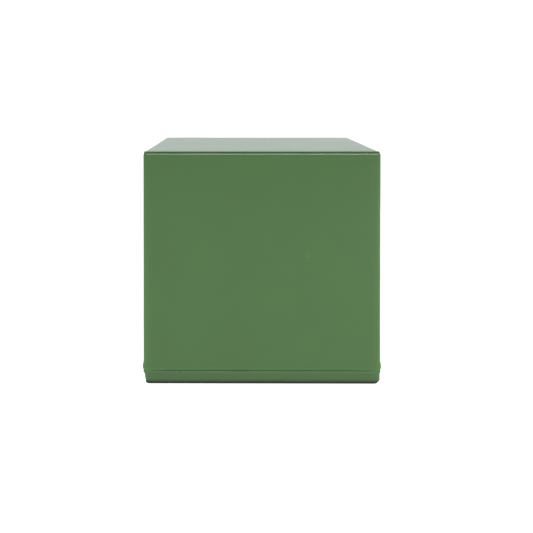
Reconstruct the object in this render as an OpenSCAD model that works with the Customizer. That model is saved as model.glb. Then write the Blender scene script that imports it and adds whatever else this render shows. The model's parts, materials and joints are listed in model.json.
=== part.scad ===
// Card deck box: a board tray with an L-shaped cover. The cover folds at a crease just above the
// base and again just behind its top edge, and a magnetic lip under its front edge holds it shut.
// +Z is up, -Y is the hinge side, and the origin is the centre of the footprint, on the table.

/* [Overall] */
// Width of the cover, along X
body_w = 103; // [70:0.5:180]
// Depth from the hinge side to the opening side, along Y
body_d = 82; // [60:0.5:140]
// Height from the table to the top of the cover
body_h = 101; // [60:0.5:180]

/* [Boards and skins] */
// Thickness of the greyboard in the walls and the cover
board_t = 2; // [1.5:0.1:3]
// Thickness of each of the two layers of greyboard in the base
base_board_t = 1.9; // [1.2:0.1:3]
// Thickness of the leatherette outside
skin_t = 0.5; // [0.3:0.05:0.8]
// Thickness of the microfibre lining
lining_t = 0.5; // [0.3:0.05:0.8]
// Thickness of the cloth that backs each fold
cloth_t = 0.3; // [0.2:0.05:0.5]
// Thickness of the pad that the box stands on
pad_t = 0.8; // [0.3:0.1:1.5]
// How far the skin turns in over the inner face of a cover panel
turn_in = 3; // [1:0.5:8]

/* [Fits] */
// Clearance between the closed cover and the tray
cover_gap = 0.3; // [0.2:0.05:0.8]
// How far the cover stands out past the tray at the sides and the front
cover_overhang = 0.75; // [0.5:0.05:2]
// How much narrower the base is than the cover, on each side
base_inset = 0.1; // [0.05:0.05:0.45]
// How far the pad stays in from the base's edges
pad_inset = 0.6; // [0.3:0.1:5]

/* [Folds] */
// Width of each crease, between the boards on either side of it
crease_w = 1.2; // [1.1:0.1:2]
// How deep the skin lies in a crease
crease_recess = 0.25; // [0.1:0.05:0.35]
// Outside radius of the edge between the back face and the top face
edge_r = 1.7; // [0.8:0.1:2]

/* [Closure] */
// How far the lip hangs below the top panel
lip_h = 8; // [7.5:0.5:12]
// Thickness of the board in the lip
lip_board_t = 1.5; // [1.3:0.1:2]
// Thickness of the skin on the lip
lip_skin_t = 0.4; // [0.3:0.05:0.5]
// Clearance between the lip and the front wall
lip_clear = 1.2; // [1.1:0.1:2]
// Clearance between the lip's ends and the side walls
lip_side_clear = 1; // [0.5:0.1:3]
// Diameter of the disc magnets
magnet_d = 6; // [4:0.5:6]
// Thickness of the disc magnets
magnet_t = 1; // [0.6:0.1:1.2]
// Clearance round each magnet in its pocket
magnet_clear = 0.1; // [0.05:0.05:0.3]
// Distance from the middle to each magnet
magnet_x = 30; // [20:1:32]
// Radius of the thumb notch in the front wall
notch_r = 9; // [7:0.5:14]
// Height of the notch's centre above the rim
notch_rise = 2; // [2:0.5:5]

/* [Hidden] */
$fn = 96;
cut = 1; // how far a cutting shape runs past what it cuts

panel_t = skin_t + board_t + lining_t;
layer_z = pad_t + skin_t; // underside of the base's lower layer
base_t = layer_z + 2 * base_board_t;
base_w = body_w - 2 * base_inset;

// Faces of the cover
back_out = -body_d / 2;
back_in = back_out + panel_t;
front_out = body_d / 2;
top_in = body_h - panel_t;
crease_z = base_t + crease_w / 2;
panel_bottom = base_t + crease_w;

// The two creases, each a strip of skin on a strip of cloth
crease_depth = crease_recess + skin_t + cloth_t;
top_crease_y = back_in + cover_gap / 2;
back_top_end = top_crease_y - crease_w / 2; // where the back panel's top skin ends
top_panel_end = top_crease_y + crease_w / 2; // where the top panel's skin begins

// Faces of the tray
tray_w = body_w - 2 * cover_overhang;
tray_back = back_in + cover_gap;
tray_front = front_out - cover_overhang;
rim_z = top_in - cover_gap;
board_w = tray_w - 2 * skin_t;
board_back = tray_back + skin_t;
board_front = tray_front - skin_t;
board_top = rim_z - skin_t;
lining_w = board_w - 2 * board_t;
lining_back = board_back + board_t;
lining_front = board_front - board_t;
bay_w = lining_w - 2 * lining_t;
bay_back = lining_back + lining_t;
bay_front = lining_front - lining_t;
floor_z = base_t + lining_t;

// The lip and its magnets
lip_out = bay_front - lip_clear;
lip_t = lip_board_t + 2 * lip_skin_t;
lip_w = bay_w - 2 * lip_side_clear;
lip_bottom = top_in - lip_h;
magnet_z = (lip_bottom + rim_z) / 2;

leatherette = [0.21, 0.33, 0.17];
microfibre = [0.16, 0.17, 0.16];
greyboard = [0.55, 0.52, 0.47];
hinge_cloth = [0.1, 0.1, 0.1];
black_felt = [0.06, 0.06, 0.06];
steel = [0.75, 0.76, 0.78];

// A block between two corners
module span(low, high) {
    translate(low) cube(high - low);
}

// A block centred on X, w wide, between two depths and two heights
module slab(w, y0, y1, z0, z1) {
    span([-w / 2, y0, z0], [w / 2, y1, z1]);
}

// A round bar along Y, for pockets, discs and the notch
module bar_y(r, x, z, y0, y1) {
    translate([x, y0, z]) rotate([-90, 0, 0]) cylinder(r = r, h = y1 - y0);
}

module notch(r) {
    bar_y(r, 0, rim_z + notch_rise, bay_front - cut, tray_front + cut);
}

module discs(r, y0, y1) {
    for (x = [-magnet_x, magnet_x]) bar_y(r, x, magnet_z, y0, y1);
}

// A slab whose upper back edge is rounded
module rounded_slab(w, y0, y1, z0, z1, r) {
    difference() {
        slab(w, y0, y1, z0, z1);
        difference() {
            slab(w + 2 * cut, y0 - cut, y0 + r, z1 - r, z1 + cut);
            translate([-w / 2 - 2 * cut, y0 + r, z1 - r]) rotate([0, 90, 0]) cylinder(r = r, h = w + 4 * cut);
        }
    }
}

// The space that the four wall boards fill
module wall_boards(notch_cut) {
    difference() {
        slab(board_w, board_back, board_front, base_t, board_top);
        slab(lining_w, lining_back, lining_front, base_t - cut, board_top + cut);
        notch(notch_cut);
    }
}

// The base is two layers of board in one skin, and stands on a thin pad
module base_pad() {
    color(black_felt) slab(base_w - 2 * pad_inset, back_out + pad_inset, front_out - pad_inset, 0, pad_t);
}

module base_layer(z) {
    color(greyboard) slab(base_w - 2 * skin_t, back_out + skin_t, front_out - skin_t, z, z + base_board_t);
}

module base_board() {
    base_layer(layer_z);
}

module base_upper_board() {
    base_layer(layer_z + base_board_t);
}

// The base's skin covers its bottom and edges, and turns in over the top as far as the tray
module base_wrap() {
    color(leatherette) difference() {
        union() {
            slab(base_w, back_out, front_out, pad_t, base_t);
            slab(base_w, tray_back, front_out, base_t, floor_z);
        }
        slab(base_w - 2 * skin_t, back_out + skin_t, front_out - skin_t, layer_z, base_t);
        slab(tray_w, tray_back - cut, tray_front, base_t - skin_t, floor_z + cut);
    }
}

module front_wall_board() {
    color(greyboard) difference() {
        slab(lining_w, lining_front, board_front, base_t, board_top);
        notch(notch_r + skin_t);
        discs(magnet_d / 2 + magnet_clear, lining_front - cut, lining_front + magnet_t + magnet_clear);
    }
}

module back_wall_board() {
    color(greyboard) slab(lining_w, board_back, lining_back, base_t, board_top);
}

module side_wall_board(side) {
    color(greyboard) span(
        [min(side * lining_w, side * board_w) / 2, board_back, base_t],
        [max(side * lining_w, side * board_w) / 2, board_front, board_top]);
}

module left_wall_board() {
    side_wall_board(-1);
}

module right_wall_board() {
    side_wall_board(1);
}

// The tray's skin covers the walls outside, their rim and the edge of the notch
module tray_wrap() {
    color(leatherette) difference() {
        slab(tray_w, tray_back, tray_front, base_t, rim_z);
        wall_boards(notch_r + skin_t);
        slab(lining_w, lining_back, lining_front, base_t - cut, rim_z + cut);
        notch(notch_r);
    }
}

module floor_lining() {
    color(microfibre) slab(bay_w, bay_back, bay_front, base_t, floor_z);
}

module front_wall_lining() {
    color(microfibre) difference() {
        slab(bay_w, bay_front, lining_front, base_t, rim_z);
        notch(notch_r);
    }
}

module back_wall_lining() {
    color(microfibre) slab(bay_w, lining_back, bay_back, base_t, rim_z);
}

module side_wall_lining(side) {
    color(microfibre) span(
        [min(side * bay_w, side * lining_w) / 2, lining_back, base_t],
        [max(side * bay_w, side * lining_w) / 2, lining_front, rim_z]);
}

module left_wall_lining() {
    side_wall_lining(-1);
}

module right_wall_lining() {
    side_wall_lining(1);
}

module tray_magnets() {
    color(steel) discs(magnet_d / 2, lining_front, lining_front + magnet_t);
}

// The skin that bends between the base and the back panel
module crease_hinge() {
    color(leatherette) slab(
        base_w, back_out + crease_recess, back_out + crease_recess + skin_t, base_t, panel_bottom);
}

module crease_hinge_cloth() {
    skin_in = back_out + crease_recess + skin_t;
    color(hinge_cloth) slab(base_w - 2 * skin_t, skin_in, skin_in + cloth_t, base_t, panel_bottom);
}

// The back panel runs from the crease up to the top crease, just inside the top edge
module back_panel_board() {
    color(greyboard) rounded_slab(
        body_w - 2 * skin_t, back_out + skin_t, back_in - lining_t,
        panel_bottom + skin_t, body_h - crease_depth, edge_r - skin_t);
}

// Its skin covers the outside and turns in all round, and the lining lies within the turn-ins
module back_panel_wrap() {
    color(leatherette) difference() {
        rounded_slab(body_w, back_out, back_in, panel_bottom, body_h, edge_r);
        rounded_slab(
            body_w - 2 * skin_t, back_out + skin_t, back_in - lining_t,
            panel_bottom + skin_t, body_h - crease_depth, edge_r - skin_t);
        slab(body_w - 2 * turn_in, back_in - lining_t - cut / 2, back_in + cut,
            panel_bottom + turn_in, top_in - turn_in);
        slab(body_w + 2 * cut, back_top_end, back_in + cut, body_h - crease_depth, body_h + cut);
    }
}

module back_panel_lining() {
    color(microfibre) slab(
        body_w - 2 * turn_in, back_in - lining_t, back_in, panel_bottom + turn_in, top_in - turn_in);
}

// The skin that bends between the back panel and the top panel
module top_crease_hinge() {
    skin_out = body_h - crease_recess;
    color(leatherette) slab(body_w, back_top_end, top_panel_end, skin_out - skin_t, skin_out);
}

module top_crease_hinge_cloth() {
    color(hinge_cloth) slab(
        body_w - 2 * skin_t, back_top_end, top_panel_end,
        body_h - crease_depth, body_h - crease_depth + cloth_t);
}

module top_panel_board() {
    color(greyboard) slab(
        body_w - 2 * skin_t, top_panel_end, front_out - skin_t, top_in + lining_t, body_h - skin_t);
}

// Its skin covers the top and the edges, and turns in all round underneath
module top_panel_wrap() {
    color(leatherette) difference() {
        slab(body_w, tray_back, front_out, top_in, body_h);
        slab(body_w - 2 * skin_t, top_panel_end, front_out - skin_t, top_in + lining_t, body_h - skin_t);
        slab(body_w - 2 * turn_in, tray_back + turn_in, front_out - turn_in,
            top_in - cut, top_in + lining_t + cut / 2);
        slab(body_w + 2 * cut, tray_back - cut, top_panel_end, body_h - crease_depth, body_h + cut);
    }
}

module top_panel_lining() {
    color(microfibre) slab(
        body_w - 2 * turn_in, tray_back + turn_in, front_out - turn_in, top_in, top_in + lining_t);
}

// The lip hangs inside the front wall and holds the cover's magnets
module lip_board() {
    color(greyboard) difference() {
        slab(lip_w - 2 * lip_skin_t, lip_out - lip_t + lip_skin_t, lip_out - lip_skin_t,
            lip_bottom + lip_skin_t, top_in);
        discs(magnet_d / 2 + magnet_clear, lip_out - lip_skin_t - magnet_t - magnet_clear, lip_out);
    }
}

module lip_wrap() {
    color(leatherette) difference() {
        slab(lip_w, lip_out - lip_t, lip_out, lip_bottom, top_in);
        slab(lip_w - 2 * lip_skin_t, lip_out - lip_t + lip_skin_t, lip_out - lip_skin_t,
            lip_bottom + lip_skin_t, top_in + cut);
    }
}

module lip_magnets() {
    color(steel) discs(magnet_d / 2, lip_out - lip_skin_t - magnet_t, lip_out - lip_skin_t);
}

base_pad();
base_board();
base_upper_board();
base_wrap();
front_wall_board();
back_wall_board();
left_wall_board();
right_wall_board();
tray_wrap();
floor_lining();
front_wall_lining();
back_wall_lining();
left_wall_lining();
right_wall_lining();
tray_magnets();
crease_hinge();
crease_hinge_cloth();
back_panel_board();
back_panel_wrap();
back_panel_lining();
top_crease_hinge();
top_crease_hinge_cloth();
top_panel_board();
top_panel_wrap();
top_panel_lining();
lip_board();
lip_wrap();
lip_magnets();
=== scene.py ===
"""Card deck box: the skins, linings, boards and folds that dress the box's frame, and its studio.

Lengths in the code are metres; MM turns millimetres into them. -Y is the hinge side and +Z is up.
"""

import json
import math

import bmesh
import bpy
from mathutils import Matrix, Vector


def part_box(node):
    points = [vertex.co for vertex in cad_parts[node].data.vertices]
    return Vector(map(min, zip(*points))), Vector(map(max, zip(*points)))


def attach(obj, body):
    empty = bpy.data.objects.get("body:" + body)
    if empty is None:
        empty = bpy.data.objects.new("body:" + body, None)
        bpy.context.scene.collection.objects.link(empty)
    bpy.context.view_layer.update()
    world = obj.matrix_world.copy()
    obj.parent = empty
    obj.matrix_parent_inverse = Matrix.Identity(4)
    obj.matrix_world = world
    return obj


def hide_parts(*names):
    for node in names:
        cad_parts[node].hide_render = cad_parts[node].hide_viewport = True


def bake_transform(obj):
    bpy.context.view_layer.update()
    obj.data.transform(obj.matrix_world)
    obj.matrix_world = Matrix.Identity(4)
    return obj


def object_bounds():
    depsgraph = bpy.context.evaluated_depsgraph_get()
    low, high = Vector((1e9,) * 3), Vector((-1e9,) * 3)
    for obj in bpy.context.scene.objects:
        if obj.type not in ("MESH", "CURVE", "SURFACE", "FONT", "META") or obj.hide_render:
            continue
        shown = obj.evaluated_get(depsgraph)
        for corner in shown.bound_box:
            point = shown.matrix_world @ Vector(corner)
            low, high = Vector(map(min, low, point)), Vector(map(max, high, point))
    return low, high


bl_info = {
    "name": "Card deck box",
    "version": (1, 0, 0),
    "blender": (4, 5, 0),
    "location": "3D View > Sidebar > Deck box",
    "description": "Models a wrapped card deck box with a folding cover",
    "category": "Add Mesh",
}

MM = 0.001
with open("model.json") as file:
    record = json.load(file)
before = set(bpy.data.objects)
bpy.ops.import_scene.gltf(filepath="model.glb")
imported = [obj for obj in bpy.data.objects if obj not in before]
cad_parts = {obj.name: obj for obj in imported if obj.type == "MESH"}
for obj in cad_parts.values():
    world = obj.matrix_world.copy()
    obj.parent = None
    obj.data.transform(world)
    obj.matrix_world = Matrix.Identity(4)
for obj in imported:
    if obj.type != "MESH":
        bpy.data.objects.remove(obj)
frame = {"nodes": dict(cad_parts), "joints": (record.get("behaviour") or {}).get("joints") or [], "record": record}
CAD_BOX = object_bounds()

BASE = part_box("base_wrap")
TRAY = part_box("tray_wrap")
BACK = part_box("back_panel_wrap")
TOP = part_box("top_panel_wrap")
JOINTS = {joint["name"]: joint for joint in frame["joints"]}
LOWER_PIVOT = Vector(JOINTS["cover_fold"]["pos_m"])
UPPER_PIVOT = Vector(JOINTS["top_fold"]["pos_m"])
NICK = (19.7 * MM, BACK[0].y, 55.9 * MM)  # a small chip in the back face's coating
NICK_CORE, NICK_RIM = 0.25 * MM, 0.75 * MM
INNER_EDGE = 0.55 * MM  # radius of a cover panel's inner edges
LINING_EDGE, COVER_LINING_EDGE = 0.18 * MM, 0.2 * MM  # radii of the linings' edges
PANEL_STEP = 2.5 * MM  # spacing of the cuts that let a cover panel's skin wave
WATTS_PER_RADIANCE = 4  # power per square metre of a softbox whose radiance is 1
LEAN = 0.16  # how far the base's left side leans in, as a share of the depth below the fold
LEAN_REACH = 4 * MM  # how far from that side the lean fades out
NOTCH_RADIUS = 9 * MM
NOTCH_CENTRE = TRAY[1].z + 2 * MM  # above the tray's rim, so that the notch is less than half round
WEAR_REACH = 1 * MM  # how far from an edge the skin is rubbed
CUT = 1 * MM  # how far a cutter stands past the piece it cuts


# ---------------------------------------------------------------- sizes and colours


class DeckBoxShape(bpy.types.PropertyGroup):
    skin: bpy.props.FloatProperty(
        name="Skin", description="Thickness of the leatherette", default=0.5 * MM, unit="LENGTH")
    turn_in: bpy.props.FloatProperty(
        name="Turn-in", description="Margin of skin folded over a panel's inner face",
        default=3 * MM, unit="LENGTH")
    corner: bpy.props.FloatProperty(
        name="Corner", description="Radius of a cover panel's corners, seen square on",
        default=1.6 * MM, unit="LENGTH")
    edge: bpy.props.FloatProperty(
        name="Edge", description="Radius of a cover panel's outer edges", default=1.2 * MM,
        unit="LENGTH")
    top_edge: bpy.props.FloatProperty(
        name="Top edge", description="Radius of the edge between the back face and the top face",
        default=1.5 * MM, unit="LENGTH")
    crease_gap: bpy.props.FloatProperty(
        name="Crease", description="Width of a crease where the skin dips into it",
        default=0.4 * MM, unit="LENGTH")
    bulge: bpy.props.FloatProperty(
        name="Bulge", description="How far the face swells just above the crease",
        default=0.16 * MM, unit="LENGTH")
    crease_rise: bpy.props.FloatProperty(
        name="Crease rise", description="How far the lower crease shows above its fold line",
        default=0.25 * MM, unit="LENGTH")
    hem: bpy.props.FloatProperty(
        name="Hem", description="How far the turned-in skin stands out at the crease's two ends",
        default=0.4 * MM, unit="LENGTH")
    ripple: bpy.props.FloatProperty(
        name="Ripple", description="Depth of the slow waves in the glued skin",
        default=0.1 * MM, unit="LENGTH")


class DeckBoxFinish(bpy.types.PropertyGroup):
    green: bpy.props.FloatVectorProperty(
        name="Green", description="Colour of the leatherette", subtype="COLOR",
        default=(0.0333, 0.0945, 0.0188))
    lining: bpy.props.FloatVectorProperty(
        name="Lining", description="Colour of the microfibre", subtype="COLOR",
        default=(0.040, 0.043, 0.041))
    board: bpy.props.FloatVectorProperty(
        name="Board", description="Colour of the bare greyboard", subtype="COLOR",
        default=(0.34, 0.31, 0.26))
    grain: bpy.props.FloatProperty(
        name="Grain", description="Size of the leatherette's pebbles", default=0.32 * MM,
        unit="LENGTH")


class DeckBoxStudio(bpy.types.PropertyGroup):
    distance: bpy.props.FloatProperty(
        name="Distance", description="From the camera to the hinge side's face",
        default=261.2 * MM, unit="LENGTH")
    eye_height: bpy.props.FloatProperty(
        name="Eye height", description="How far the camera stands above the box's top",
        default=26.5 * MM, unit="LENGTH")
    eye_side: bpy.props.FloatProperty(
        name="Eye side", description="How far to the right of the box's middle the camera stands",
        default=-9.0 * MM, unit="LENGTH")
    tilt: bpy.props.FloatProperty(
        name="Tilt", description="How far the camera looks down", default=math.radians(0.6),
        subtype="ANGLE")
    turn: bpy.props.FloatProperty(
        name="Turn", description="How far the camera turns to the left", default=math.radians(0.2),
        subtype="ANGLE")
    lens: bpy.props.FloatProperty(
        name="Lens", description="Focal length in millimetres", default=40.86)
    shift_x: bpy.props.FloatProperty(
        name="Shift X", description="Sideways shift of the lens", default=0.0515)
    shift_y: bpy.props.FloatProperty(
        name="Shift Y", description="Upward shift of the lens", default=-0.3180)
    key: bpy.props.FloatProperty(
        name="Key", description="Radiance of the softbox, where white is 1", default=13.7)
    fill: bpy.props.FloatProperty(
        name="Fill", description="Radiance of the small low light on the right", default=2.6)
    backdrop: bpy.props.FloatProperty(
        name="Backdrop", description="Radiance of the white wall behind the box, where white is 1",
        default=1.52)


SETTINGS = {
    "deck_box_shape": DeckBoxShape,
    "deck_box_finish": DeckBoxFinish,
    "deck_box_studio": DeckBoxStudio,
}


# ---------------------------------------------------------------- modelling


def only(piece):
    """Selects one object alone and makes it active."""
    bpy.ops.object.select_all(action="DESELECT")
    piece.select_set(True)
    bpy.context.view_layer.objects.active = piece


def add_block(name, low, high):
    """A box between two corners, at the origin with its place in its mesh."""
    low, high = Vector(low), Vector(high)
    bpy.ops.object.select_all(action="DESELECT")
    bpy.ops.mesh.primitive_cube_add(size=1, location=(low + high) / 2)
    block = bpy.context.object
    block.scale = high - low
    bpy.ops.object.transform_apply(location=True, rotation=True, scale=True)
    block.name = block.data.name = name
    return block


def edit(piece, mode):
    """Enters edit mode on a piece with vertices, edges or faces to pick, and nothing picked."""
    only(piece)
    bpy.ops.object.mode_set(mode="EDIT")
    bpy.ops.mesh.select_mode(type=mode)
    bpy.ops.mesh.select_all(action="DESELECT")
    return bmesh.from_edit_mesh(piece.data)


def leave(piece):
    bmesh.update_edit_mesh(piece.data)
    bpy.ops.object.mode_set(mode="OBJECT")


def round_edges(piece, radius, segments, wanted):
    """Rounds the edges for which wanted(middle, direction) is true."""
    mesh = edit(piece, "EDGE")
    picked = 0
    for seam in mesh.edges:
        a, b = (v.co for v in seam.verts)
        if wanted((a + b) / 2, (b - a).normalized()):
            seam.select = True
            picked += 1
    if not picked:
        raise RuntimeError(f"no edge of {piece.name} to round")
    bmesh.update_edit_mesh(piece.data)
    bpy.ops.mesh.bevel(offset=radius, segments=segments, affect="EDGES", clamp_overlap=True)
    leave(piece)


def slice_at(piece, axis, places):
    """Cuts a piece's faces along planes square to an axis."""
    edit(piece, "VERT")
    normal = [0, 0, 0]
    normal[axis] = 1
    for place in places:
        bpy.ops.mesh.select_all(action="SELECT")
        bpy.ops.mesh.bisect(plane_co=[place * n for n in normal], plane_no=normal)
    leave(piece)


def delete_faces(piece, wanted):
    """Deletes the faces for which wanted(middle, normal) is true."""
    mesh = edit(piece, "FACE")
    picked = 0
    for face in mesh.faces:
        if wanted(face.calc_center_median(), face.normal):
            face.select = True
            picked += 1
    if not picked:
        raise RuntimeError(f"no face of {piece.name} to delete")
    bmesh.update_edit_mesh(piece.data)
    bpy.ops.mesh.delete(type="FACE")
    leave(piece)


def spaced(start, end, step):
    """Evenly spaced places between two ends, without the ends."""
    count = max(1, round((end - start) / step))
    return [start + (end - start) * i / count for i in range(1, count)]


def apply(piece, kind, **settings):
    """Adds a modifier with these settings and applies it."""
    only(piece)
    modifier = piece.modifiers.new(kind.title(), kind)
    for key, value in settings.items():
        setattr(modifier, key, value)
    bpy.ops.object.modifier_apply(modifier=modifier.name)


def wall(piece, thickness):
    """Gives an open skin its thickness, inwards."""
    apply(piece, "SOLIDIFY", thickness=thickness, offset=-1, use_even_offset=True,
          use_quality_normals=True)


def cut_out(piece, tool):
    """Cuts one solid out of another and removes the cutter."""
    apply(piece, "BOOLEAN", operation="DIFFERENCE", object=tool, solver="EXACT")
    bpy.data.objects.remove(tool)


def ripple(piece, depth, spacing):
    """Moves a skin in and out in slow waves."""
    waves = bpy.data.textures.new(piece.name + "_waves", "CLOUDS")
    waves.noise_scale = spacing
    waves.noise_depth = 1
    apply(piece, "DISPLACE", texture=waves, strength=depth, mid_level=0.5, texture_coords="LOCAL")
    bpy.data.textures.remove(waves)


def shape_points(piece, move):
    """Moves each vertex by the vector that move(place) gives."""
    for vertex in piece.data.vertices:
        vertex.co += Vector(move(vertex.co.copy()))
    piece.data.update()


def mark_wear(piece, low, high, reach):
    """Stores how near each vertex is to two faces of the box at once, for the wear along edges."""
    wear = piece.data.attributes.new("wear", "FLOAT", "POINT")
    for vertex, value in zip(piece.data.vertices, wear.data):
        depths = sorted(min(p - a, b - p) for p, a, b in zip(vertex.co, low, high))
        nearness = [max(0.0, 1 - max(depth, 0) / reach) for depth in depths[:2]]
        value.value = nearness[0] * nearness[1]


def finish(piece, body, material, slot, *nodes, angle=40):
    """Shades a finished piece, gives it its material and hangs it on its body."""
    only(piece)
    bpy.ops.object.shade_smooth_by_angle(angle=math.radians(angle))
    apply(piece, "WEIGHTED_NORMAL", keep_sharp=True, weight=80)
    piece.data.materials.clear()
    piece.data.materials.append(material)
    if body:
        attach(piece, body)
    if nodes:
        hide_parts(*nodes)
    return piece


def smooth(low, high, value):
    """0 below low, 1 above high and a smooth step between."""
    t = min(1.0, max(0.0, (value - low) / (high - low)))
    return t * t * (3 - 2 * t)


# ---------------------------------------------------------------- materials


class Wire:
    """A socket's output that takes part in sums and products."""

    def __init__(self, sheet, socket):
        self.sheet, self.socket = sheet, socket

    def _math(self, operation, *values):
        return self.sheet.node("ShaderNodeMath", {"operation": operation}, *values)

    def __add__(self, other):
        return self._math("ADD", self, other)

    def __sub__(self, other):
        return self._math("SUBTRACT", self, other)

    def __mul__(self, other):
        return self._math("MULTIPLY", self, other)

    def __truediv__(self, other):
        return self._math("DIVIDE", self, other)

    def __rsub__(self, other):
        return self._math("SUBTRACT", other, self)

    def __rtruediv__(self, other):
        return self._math("DIVIDE", other, self)

    __radd__, __rmul__ = __add__, __mul__


class Graph:
    """A tree of shader nodes under construction."""

    def __init__(self, tree):
        self.tree = tree

    def node(self, kind, settings=None, *values, output=None, **inputs):
        """Adds a node, sets it up, feeds its sockets and returns one output."""
        made = self.tree.nodes.new(kind)
        for key, value in (settings or {}).items():
            if key == "stops":
                set_stops(made.color_ramp, value)
            else:
                setattr(made, key, value)
        for socket, value in [*enumerate(values), *inputs.items()]:
            self.feed(made.inputs[socket], value)
        return Wire(self, made.outputs[output or 0])

    def feed(self, socket, value):
        if isinstance(value, Wire):
            self.tree.links.new(value.socket, socket)
        else:
            socket.default_value = value

    def blend(self, share, a, b):
        return self.node(
            "ShaderNodeMix", {"data_type": "RGBA"}, output=2, Factor=share, **{"A": a, "B": b})


class Sheet(Graph):
    """A material under construction."""

    def __init__(self, name):
        self.material = bpy.data.materials.new(name)
        self.material.use_nodes = True
        super().__init__(self.material.node_tree)
        self.shader = self.tree.nodes["Principled BSDF"]
        self.place = self.node("ShaderNodeTexCoord", output="Object")

    def shade(self, **inputs):
        for name, value in inputs.items():
            self.feed(self.shader.inputs[name.replace("_", " ")], value)

    def noise(self, size, detail, roughness=0.5, place=None):
        return self.node(
            "ShaderNodeTexNoise", None, output="Fac",
            Vector=place or self.place, Scale=1 / size, Detail=detail, Roughness=roughness)

    def pebbles(self, size):
        return self.node(
            "ShaderNodeTexVoronoi", {"feature": "SMOOTH_F1"}, output="Distance",
            Vector=self.place, Scale=1 / size)

    def stretched(self, x, y, z):
        """The piece's coordinates, scaled unevenly."""
        return self.node(
            "ShaderNodeMapping", None, output="Vector", Vector=self.place, Scale=(x, y, z))

    def bump(self, height, distance, strength, normal=None):
        values = {"Height": height, "Distance": distance, "Strength": strength}
        if normal:
            values["Normal"] = normal
        return self.node("ShaderNodeBump", None, output="Normal", **values)

    def measure(self, axis):
        """The piece's coordinate along one axis."""
        return self.node("ShaderNodeSeparateXYZ", None, self.place, output=axis)

    def ramp(self, value, start, end, first, last):
        """A number that goes from first to last while the value goes from start to end."""
        return self.node(
            "ShaderNodeMapRange", {"clamp": True}, value, start, end, first, last, output="Result")

    def reading(self, name):
        """A number stored on the piece's vertices."""
        return self.node("ShaderNodeAttribute", {"attribute_name": name}, output="Fac")


def set_stops(ramp, stops):
    while len(ramp.elements) < len(stops):
        ramp.elements.new(1)
    for element, (place, colour) in zip(ramp.elements, stops):
        element.position, element.color = place, colour


def grey(level):
    return level, level, level, 1


def tone(colour, factor):
    return (*(c * factor for c in colour), 1)


def leatherette(settings):
    """Satin coated leatherette: fine pebbles, faint clouding, rubbed edges, a painted highlight along the side
    edges, and painted shade at the foot and towards the top.
    """
    sheet = Sheet("leatherette")
    clouds = sheet.noise(22 * MM, 3)
    mottle = sheet.noise(1.6 * MM, 2)
    worn = sheet.reading("wear") * sheet.noise(3 * MM, 3)
    green = sheet.blend(
        clouds * 0.7 + mottle * 0.3, tone(settings.green, 0.93), tone(settings.green, 1.07))
    nick = sheet.node(
        "ShaderNodeVectorMath", {"operation": "DISTANCE"}, sheet.place, NICK, output="Value")
    chipped = sheet.ramp(nick, NICK_CORE, NICK_RIM, 1.0, 0.0)
    height = sheet.measure("Z")
    across = sheet.node("ShaderNodeMath", {"operation": "ABSOLUTE"}, sheet.measure("X"))
    # painted highlight: the skin lighter along the side edges, more so lower down, where the rounded edges catch
    # the light
    painted_edge_highlight = sheet.ramp(across, BACK[1].x - 5 * MM, BACK[1].x, 0.0, 1.0)
    edge_highlight_strength = sheet.ramp(height, 40 * MM, 95 * MM, 0.45, 0.15)
    # real wear on the edges and the chip, mixed with the painted edge highlight
    rubbed_and_highlit = sheet.blend(
        worn * 0.5 + chipped * 0.55 + painted_edge_highlight * painted_edge_highlight * edge_highlight_strength, green, tone(settings.green, 1.8))
    # painted shade: very dark on the foot's rounding where the box meets the floor, and the strip below the crease
    # a little darker
    painted_foot_shade = sheet.node("ShaderNodeValToRGB", {"stops": [
        (0.12, grey(0.06)), (0.18, grey(0.3)), (0.3, grey(0.82)), (0.7, grey(0.86)),
        (0.8, grey(1.0))]}, height / (8 * MM), output="Color")
    # painted shade: the skin a little darker towards the top of the box
    painted_top_shade = sheet.ramp(height, 50 * MM, 98 * MM, 1.0, 0.94)
    # the painted shade at the foot and towards the top is multiplied into the colour
    colour = sheet.node(
        "ShaderNodeMix", {"data_type": "RGBA", "blend_type": "MULTIPLY"}, output=2,
        Factor=1.0, A=rubbed_and_highlit, B=painted_foot_shade * painted_top_shade)
    pebbles = sheet.pebbles(settings.grain)
    pores = sheet.noise(0.11 * MM, 2)
    grain = pebbles * 0.7 + pores * 0.3
    sheet.shade(
        Base_Color=colour,
        Roughness=0.27 + mottle * 0.08 + clouds * 0.04 - worn * 0.06 + (1 - painted_foot_shade) * 0.5,
        Normal=sheet.bump(grain, 0.02 * MM, 0.25, sheet.bump(clouds, 0.15 * MM, 0.5)),
        Sheen_Weight=0.1, Sheen_Roughness=0.3, Sheen_Tint=(0.1, 1.0, 0.6, 1))
    return sheet.material


def microfibre(settings):
    """Brushed microfibre: short nap that leans in patches, and a soft sheen."""
    sheet = Sheet("microfibre")
    nap = sheet.noise(0.22 * MM, 3, 0.7)
    strokes = sheet.noise(3 * MM, 3, 0.6, sheet.stretched(1, 1, 0.25))
    patches = sheet.noise(12 * MM, 3)
    lean = strokes * 0.35 + patches * 0.35 + nap * 0.3
    shade = sheet.node("ShaderNodeValToRGB", {"stops": [
        (0.36, tone(settings.lining, 0.5)), (0.5, tone(settings.lining, 0.85)),
        (0.64, tone(settings.lining, 1.5))]}, lean, output="Color")
    sheet.shade(
        Base_Color=shade,
        Roughness=0.8 + nap * 0.15,
        Normal=sheet.bump(nap, 0.1 * MM, 0.8, sheet.bump(strokes, 0.3 * MM, 0.5)),
        Sheen_Weight=0.25, Sheen_Roughness=0.5)
    return sheet.material


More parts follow.
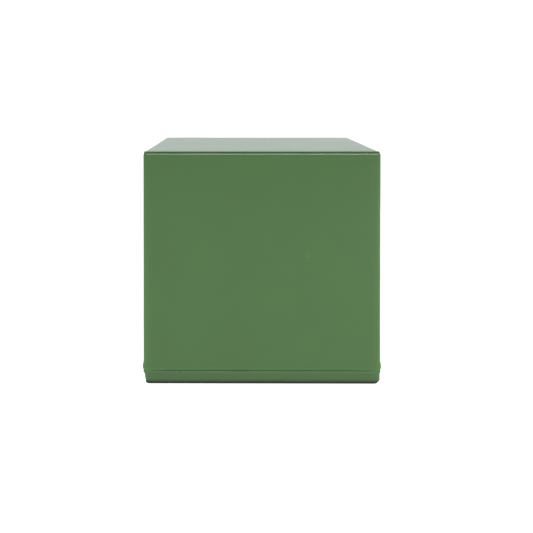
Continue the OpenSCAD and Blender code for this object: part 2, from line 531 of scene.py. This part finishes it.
def greyboard(settings):
    """Bare greyboard: pressed layers with dark and light fibres."""
    sheet = Sheet("greyboard")
    layers = sheet.noise(0.35 * MM, 2, 0.6, sheet.stretched(0.2, 0.2, 1))
    flecks = sheet.noise(0.5 * MM, 4, 0.75)
    colour = sheet.blend(
        layers * 0.5 + flecks * 0.5, tone(settings.board, 0.7), tone(settings.board, 1.25))
    sheet.shade(
        Base_Color=colour, Roughness=0.85 + flecks * 0.1, Normal=sheet.bump(flecks, 0.05 * MM, 0.7))
    return sheet.material


def binding_cloth(settings):
    """Black plain-weave cloth behind each fold."""
    sheet = Sheet("binding_cloth")
    threads = [
        sheet.node(
            "ShaderNodeTexWave", {"bands_direction": way, "wave_profile": "SIN"}, output="Fac",
            Vector=sheet.place, Scale=1 / (3.2 * MM))
        for way in ("X", "Z")]
    weave = threads[0] * 0.5 + threads[1] * 0.5
    sheet.shade(
        Base_Color=sheet.blend(weave, grey(0.012), grey(0.035)),
        Roughness=0.8 + weave * 0.15,
        Normal=sheet.bump(weave, 0.06 * MM, 0.8))
    return sheet.material


def felt(settings):
    """Black pressed felt under the box; its near-black band at the foot also stands in for the contact shadow
    there.
    """
    sheet = Sheet("felt")
    fibres = sheet.noise(0.2 * MM, 4, 0.8)
    sheet.shade(
        Base_Color=sheet.blend(fibres, (0.006, 0.006, 0.006, 1), (0.02, 0.019, 0.018, 1)),
        Roughness=0.9 + fibres * 0.08,
        Normal=sheet.bump(fibres, 0.1 * MM, 0.9))
    return sheet.material


def nickel(settings):
    """Nickel plating on the disc magnets."""
    sheet = Sheet("nickel")
    scuffs = sheet.noise(0.6 * MM, 4, 0.7, sheet.stretched(1, 1, 0.15))
    sheet.shade(
        Base_Color=sheet.blend(scuffs, (0.62, 0.60, 0.56, 1), (0.75, 0.74, 0.71, 1)),
        Roughness=0.18 + scuffs * 0.16,
        Normal=sheet.bump(scuffs, 0.01 * MM, 0.5), Metallic=1)
    return sheet.material


MAKERS = {
    "leatherette": leatherette, "microfibre": microfibre, "greyboard": greyboard,
    "hinge_cloth": binding_cloth, "felt": felt, "magnet": nickel}
made_materials = {}


def material(slot):
    """The material of one of the record's slots, made once."""
    if slot not in made_materials:
        made_materials[slot] = MAKERS[slot](bpy.context.scene.deck_box_finish)
    return made_materials[slot]


# ---------------------------------------------------------------- pieces


def along(direction, axis):
    return abs(direction[axis]) > 0.99


def near(a, b):
    return abs(a - b) < 0.02 * MM


def lean_in(p):
    """The left side of the base leans in a little towards its foot."""
    share = smooth(BASE[0].x + LEAN_REACH, BASE[0].x, p.x)
    return LEAN * max(0.0, LOWER_PIVOT.z - p.z) * share, 0, 0


class DECKBOX_OT_base(bpy.types.Operator):
    """Models the felt pad and the base's skin"""

    bl_idname = "deckbox.base"
    bl_label = "Base"

    def execute(self, context):
        shape = context.scene.deck_box_shape
        # the black felt pad's dark band at the foot also serves as painted contact shadow
        low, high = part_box("base_pad")
        high.z += 0.1 * MM  # into the skin above
        pad = add_block("felt_pad", low, high)
        pad_corner, pad_edge = 2 * MM, 0.33 * MM
        round_edges(pad, pad_corner, 4, lambda m, d: along(d, 2))
        round_edges(pad, pad_edge, 4, lambda m, d: near(m.z, low.z))
        finish(pad, "tray", material("felt"), "felt", "base_pad")

        low, high = Vector(BASE[0]), Vector(BASE[1])
        high.z = LOWER_PIVOT.z + shape.crease_rise - shape.crease_gap / 2
        skin = add_block("base_skin", low, high)
        foot, mouth, overlap = 1.1 * MM, 0.4 * MM, 0.4 * MM
        round_edges(skin, shape.corner, 6, lambda m, d: along(d, 2))
        round_edges(skin, foot, 6, lambda m, d: near(m.z, low.z))
        round_edges(skin, mouth, 4, lambda m, d: near(m.z, high.z))
        hole = [(TRAY[0][axis] + overlap, TRAY[1][axis] - overlap) for axis in (0, 1)]
        slice_at(skin, 0, [*hole[0], *spaced(*hole[0], 3 * MM)])
        slice_at(skin, 1, [*hole[1], *spaced(*hole[1], 3 * MM)])
        slice_at(skin, 2, spaced(low.z + 1.2 * MM, high.z - 0.4 * MM, 0.8 * MM))
        delete_faces(skin, lambda m, n: near(m.z, high.z) and hole[0][0] < m.x < hole[0][1]
                     and hole[1][0] < m.y < hole[1][1])
        shape_points(skin, lean_in)
        ripple(skin, shape.ripple, 14 * MM)
        mark_wear(skin, low, high, WEAR_REACH)
        wall(skin, shape.skin)
        finish(skin, "tray", material("leatherette"), "leatherette", "base_wrap")
        return {"FINISHED"}


class DECKBOX_OT_tray(bpy.types.Operator):
    """Models the tray's skin, with the thumb notch, and its five linings"""

    bl_idname = "deckbox.tray"
    bl_label = "Tray"

    def execute(self, context):
        shape = context.scene.deck_box_shape
        low, high = TRAY
        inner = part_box("front_wall_lining")[1].y
        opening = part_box("left_wall_board")[1].x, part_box("right_wall_board")[0].x
        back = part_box("back_wall_board")[1].y
        skin = add_block("tray_skin", low, high)
        cut_out(skin, self.notch("notch_cutter", inner, high.y + CUT))
        corner, rim, edge_band = 1.3 * MM, 0.5 * MM, 1.4 * MM
        round_edges(skin, corner, 5, lambda m, d: along(d, 2) and abs(m.x) > high.x - 0.1 * MM)

        def outside(m):
            within = low.y + edge_band < m.y < high.y - edge_band
            return abs(m.x) > high.x - edge_band or not within

        round_edges(skin, rim, 4, lambda m, d: near(m.y, high.y) and self.on_notch(m)
                    or near(m.z, high.z) and outside(m) and not along(d, 1))
        slice_at(skin, 0, [*opening, *spaced(low.x, high.x, 4 * MM)])
        slice_at(skin, 1, [back, inner, *spaced(low.y, high.y, 4 * MM)])
        slice_at(skin, 2, spaced(low.z, high.z, 4 * MM))
        delete_faces(skin, lambda m, n: (
            opening[0] < m.x < opening[1] and back < m.y < inner and n.z > 0.9)
            or near(m.z, low.z) or near(m.y, inner) and abs(n.y) > 0.5)
        ripple(skin, shape.ripple, 20 * MM)
        mark_wear(skin, low, high, WEAR_REACH)
        wall(skin, shape.skin)
        finish(skin, "tray", material("leatherette"), "leatherette", "tray_wrap")
        for side in ("floor", "front_wall", "back_wall", "left_wall", "right_wall"):
            self.lining(side)
        return {"FINISHED"}

    def on_notch(self, point):
        return near(math.hypot(point.x, point.z - NOTCH_CENTRE), NOTCH_RADIUS)

    def notch(self, name, near_y, far_y):
        """A round bar along Y that cuts the thumb notch."""
        bpy.ops.object.select_all(action="DESELECT")
        bpy.ops.mesh.primitive_cylinder_add(
            vertices=96, radius=NOTCH_RADIUS, depth=far_y - near_y,
            location=(0, (near_y + far_y) / 2, NOTCH_CENTRE), rotation=(math.pi / 2, 0, 0))
        bar = bpy.context.object
        bpy.ops.object.transform_apply(location=True, rotation=True, scale=True)
        bar.name = name
        return bar

    def lining(self, side):
        node = side + "_lining"
        low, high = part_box(node)
        pad = add_block(side + "_cloth", low, high)
        if side == "front_wall":
            cut_out(pad, self.notch("lining_cutter", low.y - CUT, high.y + CUT))
        round_edges(pad, LINING_EDGE, 2, lambda m, d: not self.on_notch(m))
        finish(pad, "tray", material("microfibre"), "microfibre", node)


class DECKBOX_OT_back_panel(bpy.types.Operator):
    """Models the back panel's skin, its board and its lining"""

    bl_idname = "deckbox.back_panel"
    bl_label = "Back panel"

    def execute(self, context):
        shape = context.scene.deck_box_shape
        low, high = Vector(BACK[0]), Vector(BACK[1])
        low.z = LOWER_PIVOT.z + shape.crease_rise + shape.crease_gap / 2
        high.y = UPPER_PIVOT.y - shape.crease_gap / 2
        skin = add_block("back_panel_skin", low, high)
        round_edges(skin, shape.corner, 8, lambda m, d: along(d, 1))
        round_edges(skin, INNER_EDGE, 4, lambda m, d: near(m.y, high.y))
        round_edges(skin, shape.edge, 8, lambda m, d: near(m.y, low.y))
        left, right = low.x + shape.turn_in, high.x - shape.turn_in
        bottom, top = low.z + shape.turn_in, TOP[0].z - shape.turn_in
        slice_at(skin, 0, [left, right, *spaced(left, right, PANEL_STEP)])
        fine = [low.z + h * MM for h in (0.5, 0.9, 1.3, 1.7, 2.1, 2.6, 3.8, 4.6)]
        fine += [high.z - h * MM for h in (1.3, 1.45, 1.6, 1.8, 2.2)]
        slice_at(skin, 2, [*fine, bottom, top, *spaced(low.z + 4.6 * MM, top, PANEL_STEP)])
        delete_faces(skin, lambda m, n: near(m.y, high.y)
                     and left < m.x < right and bottom < m.z < top)
        shape_points(skin, lambda p: self.swell(p, low, high, shape))
        ripple(skin, shape.ripple, 18 * MM)
        mark_wear(skin, low, high, WEAR_REACH)
        wall(skin, shape.skin)
        finish(skin, None, material("leatherette"), "leatherette", "back_panel_wrap")
        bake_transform(skin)

        low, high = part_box("back_panel_board")
        board = add_block("back_board", low, high)
        board_edge = 1.1 * MM
        round_edges(board, board_edge, 3, lambda m, d: near(m.y, low.y) or along(d, 1))
        finish(board, "back_panel", material("greyboard"), "greyboard", "back_panel_board")
        cover_lining("back_panel")
        return {"FINISHED"}

    def swell(self, p, low, high, shape):
        """Tightens the foot, rounds the top edge, and adds the bulge and the hems by the crease."""
        height, drop = p.z - low.z, high.z - p.z
        foot, hem_corner = 0.45 * MM, 0.35 * MM
        bulge_at, bulge_end = 0.9 * MM, 3.4 * MM
        hem_at, hem_end = 1.3 * MM, 4.4 * MM
        outside = p.y - low.y < shape.edge + 0.01 * MM
        tight = round_off(height, shape.edge) - round_off(height, foot)
        soft = round_off(drop, shape.top_edge) - round_off(drop, shape.edge)
        bulge = smooth(0, bulge_at, height) * (1 - smooth(bulge_at, bulge_end, height))
        inset = round_off(height, shape.corner)
        spread = (inset - round_off(height, hem_corner)) * smooth(
            high.x - 8 * MM, high.x - inset - 0.05 * MM, abs(p.x))
        bump = smooth(-0.2 * MM, hem_at, height) * (1 - smooth(hem_at, hem_end, height))
        bump *= shape.hem * smooth(high.x - 1.5 * MM, high.x - 0.2 * MM, abs(p.x))
        return (
            math.copysign(spread + bump, p.x), outside * (soft - tight - bulge * shape.bulge), 0)


def round_off(distance, radius):
    """How far a face falls back at a distance from its rounded edge."""
    if distance >= radius:
        return 0.0
    return radius - math.sqrt(radius * radius - (radius - max(distance, 0.0)) ** 2)


def cover_lining(panel):
    """The lining within a cover panel's turn-ins."""
    node = panel + "_lining"
    low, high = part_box(node)
    cloth = add_block(panel + "_cloth", low, high)
    round_edges(cloth, COVER_LINING_EDGE, 2, lambda m, d: True)
    finish(cloth, panel, material("microfibre"), "microfibre", node)


class DECKBOX_OT_top_panel(bpy.types.Operator):
    """Models the top panel's skin, its board and its lining"""

    bl_idname = "deckbox.top_panel"
    bl_label = "Top panel"

    def execute(self, context):
        shape = context.scene.deck_box_shape
        low, high = Vector(TOP[0]), Vector(TOP[1])
        low.y = UPPER_PIVOT.y + shape.crease_gap / 2
        skin = add_block("top_panel_skin", low, high)
        round_edges(skin, shape.corner, 8, lambda m, d: along(d, 2) and near(m.y, high.y))
        round_edges(skin, INNER_EDGE, 4, lambda m, d: near(m.z, low.z)
                    or near(m.y, low.y) and (along(d, 0) or along(d, 2)))
        round_edges(skin, shape.edge, 8, lambda m, d: near(m.z, high.z) and m.y > low.y + 0.6 * MM)
        left, right = low.x + shape.turn_in, high.x - shape.turn_in
        hinge_end, front_end = low.y + shape.turn_in, high.y - shape.turn_in
        slice_at(skin, 0, [left, right, *spaced(left, right, PANEL_STEP)])
        slice_at(skin, 1, [hinge_end, front_end, *spaced(hinge_end, front_end, PANEL_STEP)])
        delete_faces(skin, lambda m, n: near(m.z, low.z) and left < m.x < right
                     and hinge_end < m.y < front_end)
        ripple(skin, shape.ripple, 18 * MM)
        mark_wear(skin, low, high, WEAR_REACH)
        wall(skin, shape.skin)
        finish(skin, None, material("leatherette"), "leatherette", "top_panel_wrap")
        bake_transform(skin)

        low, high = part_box("top_panel_board")
        board = add_block("top_board", low, high)
        board_edge = 1.0 * MM
        round_edges(board, board_edge, 3, lambda m, d: near(m.z, high.z) or along(d, 2))
        finish(board, "top_panel", material("greyboard"), "greyboard", "top_panel_board")
        cover_lining("top_panel")
        return {"FINISHED"}


class DECKBOX_OT_folds(bpy.types.Operator):
    """Models the strip of skin and the strip of cloth in each of the two creases"""

    bl_idname = "deckbox.folds"
    bl_label = "Folds"

    def execute(self, context):
        lower = 2, LOWER_PIVOT.z, ("tray", "back_panel")
        upper = 1, UPPER_PIVOT.y, ("back_panel", "top_panel")
        self.strip("crease_skin", "crease_hinge", *lower, dip=0.35 * MM)
        self.strip("crease_cloth", "crease_hinge_cloth", *lower)
        self.strip("top_crease_skin", "top_crease_hinge", *upper)
        self.strip("top_crease_cloth", "top_crease_hinge_cloth", *upper)
        return {"FINISHED"}

    def strip(self, name, node, axis, pivot, bodies, dip=0):
        """A strip in a crease, which may dip in its middle."""
        low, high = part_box(node)
        piece = add_block(name, low, high)
        slice_at(piece, 0, spaced(low.x, high.x, 3 * MM))
        slice_at(piece, axis, spaced(low[axis], high[axis], 0.3 * MM))
        if dip:
            proud, full_dip_at = 0.1 * MM, high.x - 14 * MM
            shape_points(piece, lambda p: (
                0, dip * smooth(high.x, full_dip_at, abs(p.x)) - proud, 0))
        slot = "hinge_cloth" if "cloth" in name else "leatherette"
        mark_wear(piece, low, high, 0.01 * MM)  # on the strip's outline only
        finish(piece, None, material(slot), slot, node)
        half_bend = 0.5 * MM
        start, end = [0, 0, 0], [0, 0, 0]
        start[axis], end[axis] = pivot - half_bend, pivot + half_bend
        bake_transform(piece)


class DECKBOX_OT_lip(bpy.types.Operator):
    """Models the skin of the closing lip"""

    bl_idname = "deckbox.lip"
    bl_label = "Lip"

    def execute(self, context):
        low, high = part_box("lip_wrap")
        skin = add_block("lip_skin", low, high)
        corner, edge, root, thickness = 0.9 * MM, 0.5 * MM, 1 * MM, 0.4 * MM
        round_edges(skin, corner, 4, lambda m, d: along(d, 1) and near(m.z, low.z))
        round_edges(skin, edge, 4, lambda m, d: m.z < high.z - root and (
            near(m.y, low.y) or near(m.y, high.y)))
        slice_at(skin, 0, spaced(low.x, high.x, 3 * MM))
        delete_faces(skin, lambda m, n: near(m.z, high.z))
        ripple(skin, 0.06 * MM, 12 * MM)
        mark_wear(skin, low, high, 0.8 * MM)
        wall(skin, thickness)
        finish(skin, "top_panel", material("leatherette"), "leatherette", "lip_wrap")
        return {"FINISHED"}


class DECKBOX_OT_inside(bpy.types.Operator):
    """Models the base's boards, and finishes the frame's other boards and magnets"""

    bl_idname = "deckbox.inside"
    bl_label = "Inside"

    def execute(self, context):
        for node in ("base_board", "base_upper_board"):
            low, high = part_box(node)
            board = add_block(node + "_layer", low, high)
            corner, foot = 1.2 * MM, 0.7 * MM
            round_edges(board, corner, 3, lambda m, d: along(d, 2))
            if node == "base_board":
                round_edges(board, foot, 3, lambda m, d: near(m.z, low.z))
            shape_points(board, lean_in)
            finish(board, "tray", material("greyboard"), "greyboard", node)
        for row in frame["record"]["subparts"]:
            part = frame["nodes"][row["node"]]
            part.data.materials.clear()
            part.data.materials.append(material(row["material_slot"]))
        return {"FINISHED"}


# ---------------------------------------------------------------- studio


class DECKBOX_OT_studio(bpy.types.Operator):
    """Sets up the floor, the light and the camera"""

    bl_idname = "deckbox.studio"
    bl_label = "Studio"

    def execute(self, context):
        studio = context.scene.deck_box_studio
        self.floor()
        self.surroundings(studio.backdrop)
        middle = (CAD_BOX[0] + CAD_BOX[1]) / 2
        low_right = (30 * MM, CAD_BOX[0].y, 30 * MM)  # the part of the back face by the fill
        self.softbox("key", studio.key, wide=1.8, tall=0.5,
                     direction=(0.12, -0.85, 0.66), distance=2.2, target=middle)
        self.softbox("fill", studio.fill, wide=0.1, tall=0.05,
                     direction=(0.7, -0.7, 0.01), distance=0.21, target=low_right)
        self.camera(studio)
        context.scene.view_settings.view_transform = "Standard"
        return {"FINISHED"}

    def floor(self):
        """A pale table that glows a little, as a lit acrylic sheet does."""
        bpy.ops.object.select_all(action="DESELECT")
        bpy.ops.mesh.primitive_plane_add(size=8)
        table = bpy.context.object
        table.name = "floor"
        sheet = Sheet("pale_table")
        dust = sheet.noise(30 * MM, 2)
        sheet.shade(
            Base_Color=sheet.blend(dust, grey(0.3), grey(0.32)), Roughness=0.7,
            Specular_IOR_Level=0, Emission_Color=grey(1.0), Emission_Strength=1.05)
        table.data.materials.append(sheet.material)

    def surroundings(self, backdrop):
        """White walls up to a little above the box, brightest behind it, and a dark ceiling."""
        world = bpy.data.worlds.new("studio")
        world.use_nodes = True
        bpy.context.scene.world = world
        sky = Graph(world.node_tree)
        direction = sky.node("ShaderNodeTexCoord", output="Generated")
        backward = sky.node("ShaderNodeSeparateXYZ", None, direction, output="Y") * 0.5 + 0.5
        upward = sky.node("ShaderNodeSeparateXYZ", None, direction, output="Z")
        walls = sky.node("ShaderNodeValToRGB", {"stops": [
            (0.0, grey(0.05)), (0.3, grey(0.25)), (0.46, grey(0.8)), (1.0, grey(1.0))]},
            backward, output="Color")
        ceiling = sky.node(
            "ShaderNodeValToRGB", {"stops": [(0.42, grey(0.0)), (0.62, grey(1.0))]}, upward,
            output="Color")
        dusk = 0.042, 0.045, 0.056, 1
        room = sky.blend(ceiling, walls, dusk)
        direct = sky.node("ShaderNodeLightPath", output="Is Camera Ray")
        light = sky.tree.nodes["Background"]
        sky.feed(light.inputs["Color"], sky.blend(direct, room, grey(1.0)))
        light.inputs["Strength"].default_value = backdrop

    def softbox(self, name, radiance, wide, tall, direction, distance, target):
        """A rectangular light that faces a target from a direction."""
        light = bpy.data.lights.new(name, "AREA")
        light.shape, light.size, light.size_y = "RECTANGLE", wide, tall
        light.energy = radiance * WATTS_PER_RADIANCE * wide * tall
        lamp = bpy.data.objects.new(name, light)
        bpy.context.scene.collection.objects.link(lamp)
        away = Vector(direction).normalized()
        lamp.location = Vector(target) + away * distance
        lamp.rotation_mode = "QUATERNION"
        lamp.rotation_quaternion = away.to_track_quat("Z", "Y")
        lamp.visible_camera = False

    def camera(self, studio):
        low, high = CAD_BOX
        lens = bpy.data.cameras.new("camera")
        lens.lens, lens.sensor_width = studio.lens, 36
        lens.shift_x, lens.shift_y = studio.shift_x, studio.shift_y
        lens.clip_start, lens.clip_end = 5 * MM, 20
        eye = bpy.data.objects.new("camera", lens)
        bpy.context.scene.collection.objects.link(eye)
        eye.location = (studio.eye_side, low.y - studio.distance, high.z + studio.eye_height)
        eye.rotation_euler = (math.pi / 2 - studio.tilt, 0, studio.turn)
        bpy.context.scene.camera = eye


# ---------------------------------------------------------------- add-on


OPERATORS = (
    DECKBOX_OT_studio,
    DECKBOX_OT_base,
    DECKBOX_OT_tray,
    DECKBOX_OT_back_panel,
    DECKBOX_OT_top_panel,
    DECKBOX_OT_folds,
    DECKBOX_OT_lip,
    DECKBOX_OT_inside,
)


class DECKBOX_PT_tools(bpy.types.Panel):
    bl_idname = "DECKBOX_PT_tools"
    bl_label = "Card deck box"
    bl_space_type = "VIEW_3D"
    bl_region_type = "UI"
    bl_category = "Deck box"

    def draw(self, context):
        for name, group in SETTINGS.items():
            box = self.layout.box()
            for key in group.__annotations__:
                box.prop(getattr(context.scene, name), key)
        for operator in OPERATORS:
            self.layout.operator(operator.bl_idname)


def register():
    for group in (*SETTINGS.values(), *OPERATORS, DECKBOX_PT_tools):
        bpy.utils.register_class(group)
    for name, group in SETTINGS.items():
        setattr(bpy.types.Scene, name, bpy.props.PointerProperty(type=group))


def unregister():
    for name in SETTINGS:
        delattr(bpy.types.Scene, name)
    for group in (DECKBOX_PT_tools, *reversed(OPERATORS), *SETTINGS.values()):
        bpy.utils.unregister_class(group)


def main():
    register()
    for operator in OPERATORS:
        family, name = operator.bl_idname.split(".")
        getattr(getattr(bpy.ops, family), name)()


if __name__ == "__main__":
    main()
